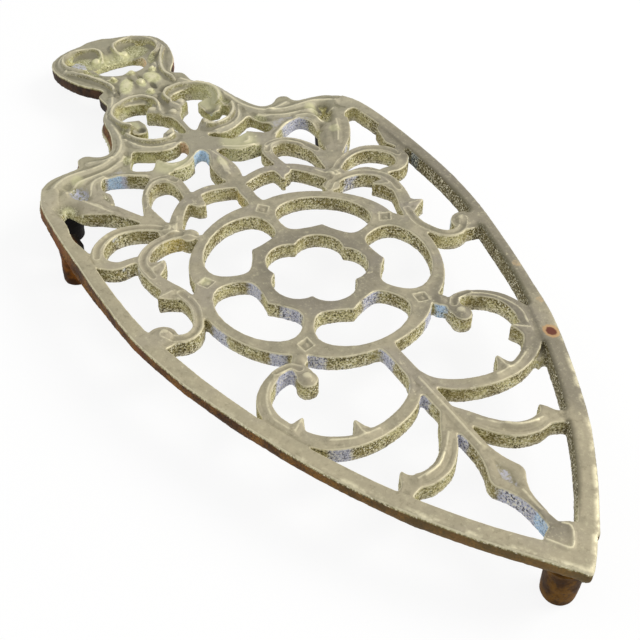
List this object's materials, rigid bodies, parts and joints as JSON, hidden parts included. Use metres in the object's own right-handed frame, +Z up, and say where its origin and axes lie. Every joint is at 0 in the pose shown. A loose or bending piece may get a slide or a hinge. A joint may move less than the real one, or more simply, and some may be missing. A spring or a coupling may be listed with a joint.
{
  "type": "flat-iron trivet",
  "caption": "Openwork brass trivet shaped like a flat iron, with scrolls round a rosette, a drooping pierced handle and short round peg legs.",
  "frame": {"origin": "on the table, under the centre of the bounding box", "axes": "+X towards the pointed tip, +Y towards the left side as seen from the handle, +Z up"},
  "size_m": [0.255, 0.1056, 0.0173],
  "materials": {
    "casting_brass": "sand-cast, worn smooth and greyed on top, with rough yellow-brown walls and spots of verdigris",
    "leg_brass": "turned, darkened brown by heat and age"
  },
  "bodies": {
    "root": {"plate": "casting_brass", "tip_leg": "leg_brass", "heel_leg_left": "leg_brass", "heel_leg_right": "leg_brass", "side_leg": "leg_brass"}
  },
  "joints": []
}
